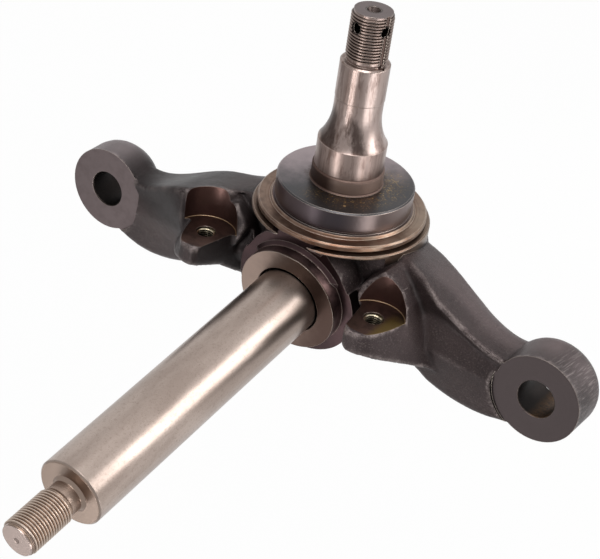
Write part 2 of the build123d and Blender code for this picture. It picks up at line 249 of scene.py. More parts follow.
# %% [markdown]
# The rims of the two spot faces are the one place where skin and machining share a wavy edge: a
# flat cutter meets an uneven forging, and the edge wanders round the cut. So those rim vertices
# may slide, but only on the cutter's own circle or in the plane of its floor.

# %% Vertices that may move, and what draws them
def loose_vertices(at, faces, cut):
    """What is free to move, what lies on the rim, and the two kinds of spot face rim."""
    on_cut = np.zeros(len(at), bool)
    on_cut[faces[cut].ravel()] = True
    on_skin = np.zeros(len(at), bool)
    on_skin[faces[~cut].ravel()] = True
    rim = on_cut & on_skin
    side = np.where(at[:, 0] > 0, 1, -1)
    level = np.where(side > 0, LUG_FACE[1], LUG_FACE[-1])
    hub = np.stack([side * LUG_X, np.full(len(at), LUG_Z)], axis=1)
    lug_r = np.linalg.norm(at[:, ::2] - hub, axis=1)
    wall = rim & (abs(lug_r - SPOT_R) < 0.2) & (at[:, 1] > level + 0.1)
    pad = rim & (abs(at[:, 1] - level) < 0.05) & (lug_r < SPOT_R - 0.2)
    free = (on_skin & ~on_cut) | wall | pad
    return SimpleNamespace(free=free, rim=rim, wall=wall, pad=pad, level=level, hub=hub)


def pulling_pairs(ends, cuts, rim):
    """Pairs of vertices, the second drawing the first: a rim is drawn only along itself."""
    along_rim = (cuts == 1) & rim[ends].all(axis=1)
    within_skin = (cuts == 0) & ~rim[ends].all(axis=1)
    pairs = np.concatenate([
        ends[along_rim], ends[along_rim][:, ::-1],
        ends[within_skin], ends[within_skin][:, ::-1],
    ])
    return pairs[~rim[pairs[:, 0]] | rim[pairs[:, 1]]]


loose = loose_vertices(skin_at, skin_faces, skin_cut)
pairs = pulling_pairs(skin_ends, skin_cuts, loose.rim)
print("free vertices:", int(loose.free.sum()), "of", len(skin_at), "drawn by", len(pairs), "pairs")

# %% Round the forged corners
SKIN_ROUNDS = 5                # more rounds give wider fillets
DRAWN_SHARE = 0.5              # part of the way that a vertex goes in one round


def relax(at, pairs, loose):
    """Draws each free vertex towards the middle of its neighbours, round after round."""
    mover, anchor = pairs.T
    drawn_by = np.bincount(mover, minlength=len(at))
    free = loose.free & (drawn_by > 0)
    count = np.maximum(drawn_by, 1)[:, None]
    for _ in range(SKIN_ROUNDS):
        drawn = np.stack(
            [np.bincount(mover, at[anchor, axis], len(at)) for axis in range(3)], axis=1
        ) / count
        at[free] += DRAWN_SHARE * (drawn - at)[free]
        at[loose.pad, 1] = loose.level[loose.pad]
        spoke = at[loose.wall][:, ::2] - loose.hub[loose.wall]
        spoke *= SPOT_R / np.linalg.norm(spoke, axis=1)[:, None]
        at[np.ix_(loose.wall, [0, 2])] = loose.hub[loose.wall] + spoke


start_at = skin_at.copy()
relax(skin_at, pairs, loose)
mesh = bpy.data.meshes.new(knuckle.name)
mesh.from_pydata((skin_at * MM).tolist(), [], skin_faces.tolist())
mesh.shade_smooth()
knuckle.data = mesh
moved = np.linalg.norm(skin_at - start_at, axis=1)
print("the skin moved", round(float(moved.max()), 2), "mm at most")

# %% Crisp edges and flat faces
CRISP = radians(24)            # a machined edge that turns more than this stays crisp
SQUARE = 0.9998                # cosine that a faced surface makes with its own axis


def mark_sharp(piece, cut):
    """Keeps each machined edge crisp, and shades each faced surface flat."""
    shape = bmesh.new()
    shape.from_mesh(piece.data)
    axes = (Vector((0, 1, 0)), Vector((0, 0, 1)), Vector((0, -sin(LEAN), cos(LEAN))))
    for edge in shape.edges:
        if len(edge.link_faces) == 2 and any(cut[face.index] for face in edge.link_faces):
            edge.smooth = edge.calc_face_angle() < CRISP
    for face in shape.faces:
        if cut[face.index] and any(face.normal.dot(axis) > SQUARE for axis in axes):
            face.smooth = False
    crisp = sum(not edge.smooth for edge in shape.edges)
    flat = sum(not face.smooth for face in shape.faces)
    print(piece.name, "has", crisp, "crisp edges and", flat, "flat faces")
    shape.to_mesh(piece.data)
    shape.free()


mark_sharp(knuckle, skin_cut)

# %% [markdown]
# ## Threads as swept ridges
# A thread could be a stack of rings or a displaced cylinder. A ridge swept along a helix is what
# a die leaves: a flat crest, two 60 degree flanks and a taper where the tool runs out. Each step
# of the sweep is one small cross-section, so the whole ridge is a closed mesh, and the cotter
# holes and the keyway are then cut through it as a drill and a cutter would.

# %% Helical ridge
STEPS_PER_TURN = 72
SUNK = 0.08                    # the ridge's feet go this far into the bar
CREST_HALF = 1 / 16            # half the crest's width for one unit of pitch
FLANK_SLOPE = 0.5774           # tangent of 30 degrees, half the thread's angle
LEAST_RISE = 0.02              # the taper ends this thin, so that no face is lost


def thread_ridge(name, to_axis, start, end, crest_r, root_r, pitch, fade):
    """Ridge from start to end along the local Z of to_axis; fade holds the taper lengths."""
    crest_half = pitch * CREST_HALF
    foot_half = crest_half + abs(crest_r - root_r) * FLANK_SLOPE
    outward = 1 if crest_r > root_r else -1
    steps = round((end - start) / pitch * STEPS_PER_TURN)
    shape = bmesh.new()
    rings = []
    for step in range(steps + 1):
        along = start + (end - start) * step / steps
        turn = 2 * pi * step / STEPS_PER_TURN
        rise = min(1.0, (along - start) / fade[0], (end - along) / fade[1])
        top = root_r + (crest_r - root_r) * max(LEAST_RISE, rise)
        foot = root_r - outward * SUNK
        profile = (
            (-foot_half, foot), (-foot_half, root_r), (-crest_half, top),
            (crest_half, top), (foot_half, root_r), (foot_half, foot),
        )
        ring = [
            shape.verts.new(to_axis @ (Vector((r * cos(turn), r * sin(turn), along + a)) * MM))
            for a, r in profile
        ]
        rings.append(ring)
    for low, high in zip(rings, rings[1:]):
        for i in range(len(low)):
            j = (i + 1) % len(low)
            shape.faces.new((low[i], low[j], high[j], high[i]))
    shape.faces.new(rings[0])
    shape.faces.new(rings[-1])
    bmesh.ops.recalc_face_normals(shape, faces=shape.faces)
    mesh = bpy.data.meshes.new(name)
    shape.to_mesh(mesh)
    shape.free()
    ridge = bpy.data.objects.new(name, mesh)
    bpy.context.scene.collection.objects.link(ridge)
    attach(ridge, "root")
    print(name, "has", round(steps / STEPS_PER_TURN, 1), "turns")
    return ridge

# %% Cutters for the holes across the thread
def rod(to_axis, radius, low, high, sides=48):
    """Plain closed cylinder along the local Z of to_axis, used only as a cutter."""
    shape = bmesh.new()
    place = to_axis @ Matrix.Translation((0, 0, (low + high) / 2 * MM))
    bmesh.ops.create_cone(
        shape, cap_ends=True, segments=sides, radius1=radius * MM, radius2=radius * MM,
        depth=(high - low) * MM, matrix=place,
    )
    mesh = bpy.data.meshes.new("cutter")
    shape.to_mesh(mesh)
    shape.free()
    cutter = bpy.data.objects.new("cutter", mesh)
    bpy.context.scene.collection.objects.link(cutter)
    return cutter


def cut_away(piece, cutters):
    """Takes the cutters' shapes out of a piece and deletes the cutters."""
    for cutter in cutters:
        modifier = piece.modifiers.new("cut", "BOOLEAN")
        modifier.operation = "DIFFERENCE"
        modifier.solver = "EXACT"
        modifier.object = cutter
    seen = piece.evaluated_get(bpy.context.evaluated_depsgraph_get())
    piece.data = bpy.data.meshes.new_from_object(seen)
    piece.modifiers.clear()
    for cutter in cutters:
        bpy.data.objects.remove(cutter)

# %% The two bar threads
spindle_thread = thread_ridge(
    "spindle_thread", SPINDLE_FRAME, SPINDLE_THREAD_FROM - 0.5, SPINDLE_TIP - 1.0,
    SPINDLE_THREAD_R, SPINDLE_ROOT_R, PITCH, fade=(1.6, 1.5),
)
pin_thread = thread_ridge(
    "pin_thread", PIN_FRAME, PIN_THREAD_FROM - 0.2, PIN_THREAD_TO + 0.4,
    PIN_THREAD_R, PIN_ROOT_R, PITCH, fade=(1.6, 1.8),
)

# %% Cotter holes and keyway, cut through the spindle's thread
cotter_cutters = [
    rod(
        Matrix.Translation((0, COTTER_Y * MM, 0)) @ Matrix.Rotation(COTTER_TURN + turn, 4, "Y"),
        COTTER_SINK_R, low=-20, high=20,
    )
    for turn in (0, pi / 2)
]
keyway_place = (
    Matrix.Rotation(KEYWAY_TURN, 4, "Y")
    @ Matrix.Translation((0, 0, KEYWAY_CENTRE * MM))
    @ SPINDLE_FRAME
)
keyway_cutter = rod(keyway_place, KEYWAY_R, low=140, high=190)
cut_away(spindle_thread, cotter_cutters + [keyway_cutter])
print("spindle thread faces:", len(spindle_thread.data.polygons))

# %% The two tapped holes
lug_threads = [
    thread_ridge(
        "right_lug_thread" if side > 0 else "left_lug_thread", lug_frame(side), -19.0, -0.6,
        LUG_HOLE_R, LUG_THREAD_R, LUG_PITCH, fade=(1.2, 1.0),
    )
    for side in (1, -1)
]

# %% [markdown]
# ## Shader maths written as Python
# A node tree is easier to read as an expression. A Wire holds one socket and adds a Math node
# for each operator, and a Graph adds any other node from its type, settings and sockets.

# %% Wire
class Wire:
    """One output socket of a graph, for use in Python expressions."""

    def __init__(self, graph, socket):
        self.graph = graph
        self.socket = socket

    def maths(self, operation, *terms):
        return self.graph.node("ShaderNodeMath", {"operation": operation}, dict(enumerate(terms)))

    def __add__(self, other):
        return self.maths("ADD", self, other)

    __radd__ = __add__

    def __mul__(self, other):
        return self.maths("MULTIPLY", self, other)

    __rmul__ = __mul__

    def __sub__(self, other):
        return self.maths("SUBTRACT", self, other)

    def __rsub__(self, other):
        return self.maths("SUBTRACT", other, self)

    def __pow__(self, other):
        return self.maths("POWER", self, other)

    def __abs__(self):
        return self.maths("ABSOLUTE", self)

    def sign(self):
        return self.maths("SIGN", self)

    def most(self, other):
        return self.maths("MAXIMUM", self, other)

    def ramp(self, low, high, to_low=0.0, to_high=1.0):
        """Smooth step of this value from low to high."""
        return self.graph.node(
            "ShaderNodeMapRange", {"interpolation_type": "SMOOTHSTEP", "clamp": True},
            {0: self, 1: low, 2: high, 3: to_low, 4: to_high},
        )

    def above(self, edge, soft=0.1):
        return self.ramp(edge - soft, edge + soft)

    def below(self, edge, soft=0.1):
        return self.ramp(edge - soft, edge + soft, 1.0, 0.0)

    def tint(self, mask, red, green, blue):
        """This colour, with a screen colour laid over it where the mask is 1."""
        return self.graph.mix(mask, self, tone(red, green, blue))

# %% Graph
class Graph:
    """A node tree that is filled by calls."""

    def __init__(self, tree):
        self.tree = tree
        tree.nodes.clear()

    def node(self, kind, settings=None, values=None, output=0):
        """Adds a node, makes its settings, then gives its sockets values or links."""
        made = self.tree.nodes.new(kind)
        for key, value in (settings or {}).items():
            setattr(made, key, value)
        for key, value in (values or {}).items():
            if isinstance(value, Wire):
                self.tree.links.new(value.socket, made.inputs[key])
            else:
                made.inputs[key].default_value = value
        return Wire(self, made.outputs[output]) if made.outputs else None

    def mix(self, factor, first, second):
        """Colour between two colours."""
        return self.node(
            "ShaderNodeMix", {"data_type": "RGBA"}, {0: factor, 6: first, 7: second}, output=2
        )

    def vector(self, x, y, z):
        return self.node("ShaderNodeCombineXYZ", values={0: x, 1: y, 2: z})

    def noise(self, at, scale, detail=3.0, roughness=0.55):
        """Noise from 0 to 1; scale is in features per millimetre when at is in millimetres."""
        return self.node(
            "ShaderNodeTexNoise", values={
                "Vector": at, "Scale": scale, "Detail": detail, "Roughness": roughness,
            },
        )

    def bump(self, height, strength, distance, normal=None):
        """Normal that leans with a height; distance is its depth in metres."""
        values = {"Strength": strength, "Distance": distance, "Height": height}
        if normal is not None:
            values["Normal"] = normal
        return self.node("ShaderNodeBump", values=values)

    def metal(self, colour, metallic, roughness, normal=None):
        """Ends the graph with one Principled surface."""
        values = {"Base Color": colour, "Metallic": metallic, "Roughness": roughness}
        if normal is not None:
            values["Normal"] = normal
        shader = self.node("ShaderNodeBsdfPrincipled", values=values)
        self.node("ShaderNodeOutputMaterial", values={"Surface": shader})

# %% Colours and materials
def tone(red, green, blue):
    """Colour written as it looks on screen, from 0 to 255, turned into light by the sRGB curve."""
    return tuple(((c / 255 + 0.055) / 1.055) ** 2.4 for c in (red, green, blue)) + (1.0,)


def new_finish(name):
    """A material and the graph that fills it."""
    material = bpy.data.materials.new(name)
    material.use_nodes = True
    return material, Graph(material.node_tree)


def dress(piece, material):
    """Gives a piece one more finish; its faces wear the first."""
    piece.data.materials.append(material)
    print(piece.name, "wears", material.name, "of", len(material.node_tree.nodes), "nodes")


for piece in (knuckle, pin, spindle_thread, pin_thread, *lug_threads):
    piece.data.materials.clear()
print("a screen grey of 128 is", round(tone(128, 128, 128)[0], 3), "of the light")

# %% Places in millimetres inside a finish
def places(graph):
    """Object position in millimetres, and its three distances."""
    at = graph.node("ShaderNodeTexCoord", output="Object")
    at = graph.node("ShaderNodeVectorMath", {"operation": "SCALE"}, {0: at, "Scale": 1 / MM})
    parts = graph.node("ShaderNodeSeparateXYZ", values={0: at})
    outputs = parts.socket.node.outputs
    return at, Wire(graph, outputs[0]), Wire(graph, outputs[1]), Wire(graph, outputs[2])


def polar(across, along):
    """Radius from two distances."""
    return (across * across + along * along) ** 0.5


def pin_places(y, z):
    """Distance behind the pin's axis, and height along it."""
    return y * cos(LEAN) + z * sin(LEAN), z * cos(LEAN) - y * sin(LEAN)


def lug_level(x):
    """Where along Y the spot face lies, on the lug that is on the side of x."""
    middle = (LUG_FACE[1] + LUG_FACE[-1]) / 2
    return middle + x.sign() * ((LUG_FACE[1] - LUG_FACE[-1]) / 2)

# %% [markdown]
# ## Ground steel of the king pin
# A centreless grinder leaves a bright bar with faint rings round it and a warm film of oil. A
# flat metal would look like plastic foil, so the colour drifts a little along the bar and the
# roughness follows fine rings.

# %% Ground pin
GROUND_TO, END_FROM = 263.0, 303.0  # top of the ground length, and the pin's end


def ground_pin():
    """Bright ground bar with fine rings round it."""
    material, graph = new_finish("ground_pin")
    at, x, y, z = places(graph)
    back, height = pin_places(y, z)
    rings = graph.noise(graph.vector(x * 0.02, back * 0.02, height * 2.2), 1.0, 2.0)
    film = graph.noise(graph.vector(x * 0.5, back * 0.5, height * 0.12), 0.12, 4.0)
    rub = graph.noise(at, 0.55, 5.0, 0.7)
    satin = graph.noise(at, 1.6, 3.0, 0.6)
    colour = graph.mix(film.ramp(0.35, 0.7), tone(155, 140, 131), tone(177, 162, 153))
    colour = colour.tint(rub.ramp(0.5, 0.72) * 0.4, 116, 102, 92)
    colour = colour.tint(satin.ramp(0.56, 0.7) * 0.4, 110, 97, 87)
    relief = height.above(GROUND_TO, 0.4) * height.below(PIN_THREAD_FROM + 1.0, 0.5)
    colour = colour.tint(relief, 158, 139, 127)
    colour = colour.tint(height.above(END_FROM, 0.5), 168, 151, 144)
    # painted shade: the pin is drawn near black where it stands inside the boss's bore
    in_boss = height.below(COLLAR_TOP + 0.2, 0.2)
    inside = polar(x, back).below(PRESS_BORE_R - 0.2, 0.2) * in_boss
    colour = colour.tint(inside, 28, 24, 24)
    rough = 0.27 + rings * 0.08 + rub.ramp(0.5, 0.8) * 0.1
    crisp = graph.node("ShaderNodeBevel", {"samples": 4}, {"Radius": 0.0005})
    graph.metal(colour, 1.0, rough, graph.bump(rings + satin, 0.3, 0.00006, crisp))
    return material


dress(pin, ground_pin())

# %% [markdown]
# ## Cut threads
# A thread is drawn light on its crests and dark brown in its roots. The distance from the bar's
# own axis tells the two apart.

# %% Keyway and cotter holes, where shade is painted dark
def keyway_mask(x, z):
    """1 inside the keyway of the spindle's thread."""
    away = polar(x - KEYWAY_CENTRE * sin(KEYWAY_TURN), z - KEYWAY_CENTRE * cos(KEYWAY_TURN))
    return away.below(KEYWAY_R + 0.15, 0.1)


def cotter_mask(x, y, z):
    """1 inside the sunk mouths of the two cotter holes."""
    along = y - COTTER_Y
    first = polar(x * cos(COTTER_TURN) - z * sin(COTTER_TURN), along)
    second = polar(x * sin(COTTER_TURN) + z * cos(COTTER_TURN), along)
    edge = COTTER_SINK_R + 0.1
    return first.below(edge, 0.1).most(second.below(edge, 0.1))

# %% Thread finish
def cut_thread(name, crest_r, root_r, spindle):
    """A bar's thread, with painted shade in its keyway and holes where it is the spindle's."""
    material, graph = new_finish(name)
    at, x, y, z = places(graph)
    radius = polar(x, z if spindle else pin_places(y, z)[0])
    crest = radius.ramp(root_r, crest_r)
    grime = graph.noise(at, 0.7, 4.0)
    low, high = (tone(54, 43, 39), tone(140, 124, 116)) if spindle else (
        tone(138, 119, 106), tone(212, 194, 180)
    )
    colour = graph.mix(crest ** 1.5, low, high)
    if spindle:
        # painted shade where the keyway and the cotter holes cut through the ridge
        recess_shade = keyway_mask(x, z).most(cotter_mask(x, y, z))
        colour = colour.tint(recess_shade * 0.9, 58, 46, 42)
    colour = colour.tint(grime.ramp(0.5, 0.75) * 0.3, 96, 80, 70)
    graph.metal(colour, 1.0, 0.46 - crest * 0.14)
    return material


def tapped_thread():
    """Bright cutting, with painted shade that deepens down the hole."""
    material, graph = new_finish("tapped_thread")
    at, x, y, _ = places(graph)
    grime = graph.noise(at, 0.8, 3.0)
    # painted shade, darker the deeper it lies in the hole
    deep = (lug_level(x) - y).ramp(0.5, 5.0)
    colour = graph.mix(grime.ramp(0.45, 0.7), tone(206, 194, 168), tone(120, 104, 82))
    colour = colour.tint(deep * 0.9, 40, 34, 28)
    graph.metal(colour, 1.0, 0.22)
    return material

# %% Give each thread its finish
dress(spindle_thread, cut_thread("spindle_cut_thread", SPINDLE_THREAD_R, SPINDLE_ROOT_R, True))
dress(pin_thread, cut_thread("pin_cut_thread", PIN_THREAD_R, PIN_ROOT_R, False))
lug_finish = tapped_thread()
for ridge in lug_threads:
    dress(ridge, lug_finish)

# %% [markdown]
# ## Forged skin
# The die leaves a dull charcoal skin: scale was blasted off, so it is rough at the size of sand
# grains. Its ridges are drawn lighter, partly as handling wear and partly as a painted highlight,
# and its hollows almost black as painted shade. The mesh itself knows where its ridges are, which
# Blender gives as Pointiness, so both follow the real shape.

# %% Forged skin
def forged_skin():
    """Charcoal skin of the die with its wear, painted shade and painted light."""
    material, graph = new_finish("forged_skin")
    at, x, y, z = places(graph)
    broad = graph.noise(at, 0.02, 3.0)
    patch = graph.noise(at, 0.1, 5.0, 0.65)
    grit = graph.noise(at, 0.95, 5.0, 0.72)
    fine = graph.noise(at, 2.2, 3.0, 0.65)
    ridges = graph.node("ShaderNodeNewGeometry", output="Pointiness")
    ridge = ridges.ramp(0.506, 0.55)
    hollow = ridges.ramp(0.494, 0.45)

    colour = graph.mix(broad.ramp(0.35, 0.7), tone(50, 39, 39), tone(66, 53, 52))
    colour = colour.tint(patch.ramp(0.5, 0.75) * 0.5, 46, 36, 36)
    lit = 0.35 + patch.ramp(0.35, 0.65) * 0.5
    colour = colour.tint(grit.ramp(0.52, 0.68) * lit * 0.8, 120, 108, 105)
    colour = colour.tint(grit.ramp(0.46, 0.32) * 0.6, 30, 27, 28)
    # painted shade in the hollows
    colour = colour.tint(hollow * 0.8, 26, 21, 21)

    # painted shade darkens parts of both arms and the fold by the left lug, and painted light
    # brightens the right arm's foot and the tops of the eyes
    painted_shade = x.ramp(-50.0, -90.0) * y.ramp(-15.0, 8.0) * 0.9
    painted_shade = painted_shade.most(x.ramp(60.0, 105.0) * z.ramp(8.0, 24.0) * 0.5)
    painted_shade = painted_shade.most(x.above(-62.0, 6.0) * x.below(-38.0, 4.0) * z.above(18.0, 8.0) * 0.8)
    painted_light = x.ramp(55.0, 90.0) * z.below(13.0, 6.0) * 0.3
    painted_light = painted_light.most(abs(x).ramp(135.0, 165.0) * y.above(6.0, 6.0) * 0.5)
    colour = colour.tint(painted_light, 114, 101, 101)
    colour = colour.tint(painted_shade, 30, 22, 22)

    # ridges drawn lighter: partly rubbed wear, partly a painted highlight, less under the painted
    # shade
    rubbed = ridge * (patch.ramp(0.38, 0.62) * 0.55 + grit.ramp(0.45, 0.6) * 0.35)
    colour = colour.tint(rubbed * (1 - painted_shade * 0.4), 138, 126, 123)

    # the rims of the eyes are rubbed lighter, and the right hand one is belt ground
    left_r = polar(x + EYE_X, y - EYE_Y)
    worn = left_r.above(26.5, 1.0) * left_r.below(33.0, 1.0) * x.ramp(-150.0, -172.0)
    colour = colour.tint(worn * (0.25 + patch * 0.5), 150, 138, 139)
    right_r = polar(x - EYE_X, y - EYE_Y)
    belt = right_r.above(28.2, 0.5) * x.above(174.0, 6.0)
    scratch = graph.noise(graph.vector(x + z * 0.12, y, z * 0.08), 1.0, 4.0, 0.7)
    colour = colour.tint(belt * 0.6, 46, 39, 39)
    colour = colour.tint(belt * scratch.ramp(0.5, 0.66) * 0.5, 126, 117, 115)

    rough = 0.33 + patch * 0.2 - ridge * 0.08
    height = grit * 0.6 + fine * 0.3 + patch * 0.9 + belt * scratch * 0.3
    graph.metal(colour, 0.6, rough, graph.bump(height, 0.8, 0.0007))
    return material


dress(knuckle, forged_skin())

# %% [markdown]
# ## Machined steel of the forging
# The knuckle is one piece of steel with a dozen machined surfaces: ground bearing seats, a blued
# seal disc, a bronze-brown flange, a turned collar and faced eyes. A material for each would be
# easy to read but gives a dozen slots. One material that asks where each point lies, and lays
# one finish over the last, keeps them together, and the stains can then run across from one
# surface to the next as they do on the real part.

# %% Places and patterns that the zones share
def machined_places(graph):
    """Distances from each axis and the noises that run across more than one zone."""
    at, x, y, z = places(graph)
    back, height = pin_places(y, z)
    spin = polar(x, z)
    return SimpleNamespace(
        graph=graph, x=x, y=y, z=z, height=height, spin=spin,
        pin_r=polar(x, back),
        eye_r=polar(abs(x) - EYE_X, y - EYE_Y),
        lug_r=polar(abs(x) - LUG_X, z - LUG_Z),
        over_face=y - lug_level(x),
        across=x * 0.82 - z * 0.57,    # left to right as one looks down on the spindle
        front=x * 0.717 + z * 0.697,   # towards the side that faces the camera
        broad=graph.noise(at, 0.03, 3.0),
        patch=graph.noise(at, 0.11, 5.0, 0.65),
        speck=graph.noise(at, 0.55, 6.0, 0.75),
        fleck=graph.noise(at, 0.9, 3.0, 0.6),
        smear=graph.noise(graph.vector(x, y * 0.25, z), 0.2, 5.0, 0.7),
        rings=graph.noise(graph.vector(spin * 1.8, y * 2.0, 0.0), 1.0, 2.0),
    )

# %% Masks of the machined zones
def zone_masks(on):
    """The mask of each zone, 1 inside it; a later zone is laid over an earlier one."""
    y, z, height, spin = on.y, on.z, on.height, on.spin
    near_hub = on.pin_r.below(FLOOR_R + 1.3) * height.above(BOSS_FOOT - 2.0, 1.0)
    outer = y.above(RING_FROM - 0.4) * spin.above(DISC_R + 1.0) * y.below(LAND_TOP + 0.7)
    inner = y.above(RING_TOP - 0.3) * y.below(LAND_TOP) * spin.below(TURNED_R)
    outside_ring = spin.below(HUB_R - 0.2).most(y.below(RING_TOP - 0.6))
    round_collar = on.pin_r.above(COLLAR_R + 0.3, 0.3) * height.above(COLLAR_FOOT - 0.3)
    seat_lip = abs(y - (SEAT_FROM - 0.2)).below(0.7, 0.2)
    disc_lip = abs(y - (DISC_TOP + 0.7)).below(0.9, 0.2)
    return {
        "seat": y.above(DISC_TOP + 0.1) * spin.below(ROOT_R + 3.0),
        "lips": seat_lip.most(disc_lip) * spin.below(ROOT_R + 3.5) * 0.6,
        "disc": y.above(LAND_TOP - 0.1) * y.below(DISC_TOP + 0.1) * spin.below(DISC_R + 1.0),
        "flange": outer * (1 - near_hub) + inner * near_hub,
        "floor": round_collar * near_hub * outside_ring,
        "boss": abs(on.pin_r - BOSS_R).below(0.5)
        * height.above(1.0) * height.below(COLLAR_FOOT - 0.2),
        "collar": on.pin_r.below(COLLAR_R + 0.3, 0.3) * height.above(COLLAR_FOOT - 0.3),
        "bore": on.pin_r.below(PRESS_BORE_R + 1.9) * height.below(COLLAR_TOP - 0.6, 0.2),
        "eye_face": on.eye_r.below(EYE_FACE_R + 0.4) * z.above(EYE_FACE_Z - 0.1),
        "eye_bore": on.eye_r.below(EYE_BORE_R + 0.3),
        "spot": on.lug_r.below(SPOT_R + 0.4) * on.over_face.above(-0.1, 0.05),
        "hole": on.lug_r.below(LUG_THREAD_R + 0.8) * on.over_face.below(-0.1, 0.05),
    }

# %% [markdown]
# Each zone below gives three things: its colour, its roughness, and how bright a highlight is
# painted on its edges. The seats come first. A grinding wheel leaves them pale, then a bearing's
# old oil dries on them in smears, and the smears are drawn out along the spindle as the bearing
# slides off.

# %% Ground seats, neck and tip
NECK_FROM, STREAKED_TO = SEAT_TO + 0.6, 118.0
LATHE_CENTRE_R, KEYWAY_FROM = 5.4, 146.0


def seat_steel(on):
    """Pale ground steel, smears, streaks of stain and painted reflection, painted shade in holes.
    """
    graph, x, y, z, smear, across = on.graph, on.x, on.y, on.z, on.smear, on.across
    drift = graph.noise(graph.vector(x * 0.3, y * 0.05, z * 0.3), 0.35, 4.0)
    streak = graph.noise(graph.vector(x, y * 0.1, z), 0.16, 5.0, 0.7)
    steel = graph.mix(drift.ramp(0.35, 0.7), tone(166, 150, 144), tone(136, 119, 112))
    steel = steel.tint(streak.ramp(0.5, 0.62) * 0.5, 90, 70, 62)
    steel = steel.tint(smear.ramp(0.52, 0.68) * 0.55, 80, 61, 53)

    # two dark streaks run down the neck, with torn edges: partly a stain, partly a painted
    # reflection
    down = y - NECK_FROM
    torn = (streak - 0.5) * 12.0 + (smear - 0.5) * 8.0
    stain_and_reflection = (abs(across + 0.32 * down - 2.5 + torn) + 0.14 * down).below(4.6, 2.6)
    stain_and_reflection = stain_and_reflection.most((across + 15.0 + torn).below(3.0, 2.0) * (across + 21.0).above(0.0, 1.0))
    stain_and_reflection = stain_and_reflection * y.above(SEAT_TO + 0.3, 0.2) * (y + smear * 10.0).below(STREAKED_TO, 4.0)
    steel = steel.tint(stain_and_reflection * (0.6 + streak * 0.5), 52, 37, 32)

    # the seat is darker towards its foot; the root below it was never ground, and painted shade
    # darkens its left side
    foot = (y + smear * 14.0 - across * 0.3).below(78.0, 8.0)
    steel = steel.tint(foot * 0.7, 88, 69, 61)
    root = y.below(SEAT_FROM + 0.2, 0.3)
    steel = steel.tint(root * 0.8, 156, 136, 126)
    steel = steel.tint(root * across.below(-11.0, 4.0), 34, 24, 23)

    # the tip; painted shade in its lathe centre, the keyway and the cotter holes; a warm cast on
    # the seat
    tip = y.above(SPINDLE_TIP - 0.5, 0.1)
    steel = graph.mix(tip, steel, graph.mix(on.patch, tone(112, 99, 98), tone(92, 81, 80)))
    centre = on.spin.below(LATHE_CENTRE_R, 0.4) * y.above(SPINDLE_TIP - 10.0)
    steel = steel.tint(centre * 0.85, 58, 48, 46)
    steel = steel.tint(keyway_mask(x, z) * y.above(KEYWAY_FROM), 76, 62, 57)
    steel = steel.tint(cotter_mask(x, y, z), 26, 20, 19)
    steel = steel.tint(y.below(NECK_FROM, 1.0) * 0.3, 112, 88, 78)
    return steel, 0.24 + smear * 0.18 + root * 0.2, y.ramp(74.0, 92.0) * 0.35

# %% [markdown]
# The seal disc was hardened, which blues bare steel. Water collects where the spindle rises from
# it, so its top is speckled with rust there, and its rim, which turns away, is violet. A painted
# reflection makes the top paler towards the back, and painted light makes the rim paler towards
# its left and its right.

# %% Blued seal disc
PUNCH_X, PUNCH_Z, PUNCH_R = 18.6, 30.4, 0.9


def blued_disc(on):
    """Blued top, painted reflection, rust beside the spindle, punch mark's painted glint, violet
    rim.
    """
    graph, x, front = on.graph, on.x, on.front
    side = on.y.below(DISC_TOP - 0.8, 0.2)
    top = 1 - side
    # painted reflection: the top is paler towards the back and darker towards the front
    blue = graph.mix(
        (front + on.patch * 30.0).ramp(-22.0, 30.0), tone(154, 141, 143), tone(68, 67, 69)
    )
    # painted light: the rim is paler towards its left and its right
    violet = graph.mix(x.ramp(-34.0, 22.0), tone(90, 76, 76), tone(68, 62, 66))
    violet = violet.tint(x.ramp(20.0, 40.0) * 0.8, 122, 108, 104)
    blue = graph.mix(side, blue, violet)
    rust = top * on.spin.below(36.0, 9.0) * (x + front).above(8.0, 14.0)
    blue = blue.tint(rust * on.speck.ramp(0.46, 0.6) * 0.55, 120, 94, 60)
    blue = blue.tint(rust * on.fleck.ramp(0.59, 0.66) * 0.85, 186, 158, 108)
    shadow = top * (on.spin + on.smear * 9.0).below(30.5, 2.5)
    blue = blue.tint(shadow * 0.8, 56, 44, 40)
    # a bright dot stands for a centre punch mark: its glint is painted
    punch = polar(x - PUNCH_X, on.z - PUNCH_Z)
    blue = blue.tint(top * punch.below(PUNCH_R, 0.25), 206, 176, 128)
    return blue, 0.3 + on.rings * 0.1, 0.16 + front.ramp(10.0, 42.0) * 0.5

# %% [markdown]
# The flange below went through the same heat but was turned coarser. It is bronze, and dirt sits
# in the tool marks. They run round it, so their noise depends on radius and height alone.

# %% Bronzed flange and ring
SCALE_TO = 33.0                # below this height the ring keeps its forging scale


def bronze_flange(on):
    """Bronze with dark lines in its tool marks, going to forging scale at its foot."""
    graph, x, y, patch = on.graph, on.x, on.y, on.patch
    line = graph.noise(graph.vector(on.spin * 0.9, y * 1.3, 0.0), 1.0, 3.0)
    bronze = graph.mix(patch.ramp(0.4, 0.65), tone(124, 102, 88), tone(98, 79, 68))
    bronze = bronze.tint(x.ramp(26.0, 50.0) * 0.6, 150, 134, 118)
    bronze = bronze.tint(line.ramp(0.48, 0.66) * 0.75, 84, 50, 34)
    heat = on.front.ramp(20.0, 50.0) * patch.ramp(0.4, 0.6)
    bronze = bronze.tint(heat * 0.4, 118, 76, 52)
    # painted shade below the flange's foot
    bronze = bronze.tint(y.below(FLANGE_FOOT - 0.2, 0.2) * 0.45, 70, 54, 45)
    scale = y.below(SCALE_TO, 3.0)
    bronze = bronze.tint(scale, 50, 43, 41)
    return bronze, 0.3 + line * 0.12, (1 - scale) * 0.45

# %% [markdown]
# The collar, the floor faced round it and the turned boss are plum brown under a film of grease.
# The collar's top carries the thrust of the axle beam; painted light makes it paler on the left.

